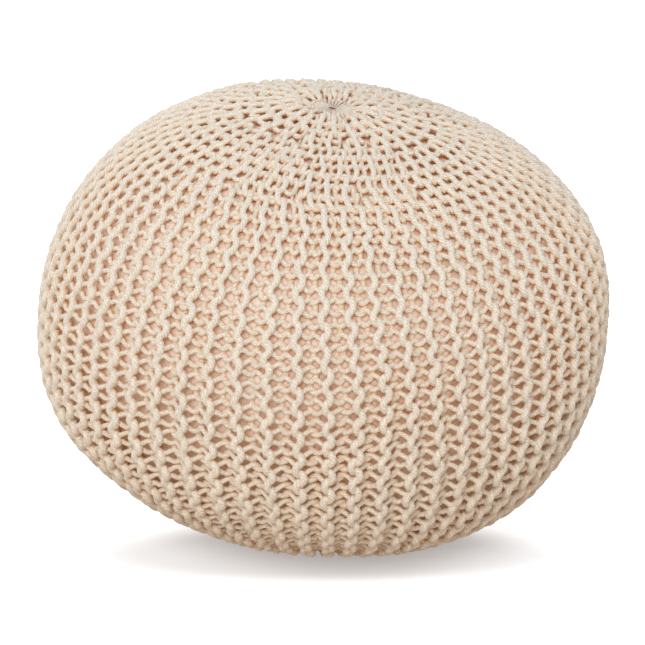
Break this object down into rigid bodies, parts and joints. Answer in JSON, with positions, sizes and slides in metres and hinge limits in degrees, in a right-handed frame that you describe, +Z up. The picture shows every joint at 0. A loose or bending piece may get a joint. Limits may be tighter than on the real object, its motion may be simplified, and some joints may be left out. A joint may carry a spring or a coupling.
{
  "type": "knitted pouf",
  "caption": "Round knitted pouf: a chunky cover of garter-stitch cord, gathered at top and bottom, over a stuffed cloth casing. A little lopsided, and flat where it rests.",
  "frame": {"origin": "on the floor, at the bottom centre of the pouf's box", "axes": "+Z up through the gathered poles; the pictured front faces -Y, and the pouf leans a little to +X"},
  "size_m": [0.4997, 0.4999, 0.3814],
  "materials": {
    "cotton_cord": "matte twisted cotton cord, cream",
    "casing_cloth": "matte plain-woven cloth, warm beige"
  },
  "bodies": {
    "root": {"knitted_cover": "cotton_cord", "filled_casing": "casing_cloth"}
  },
  "joints": []
}
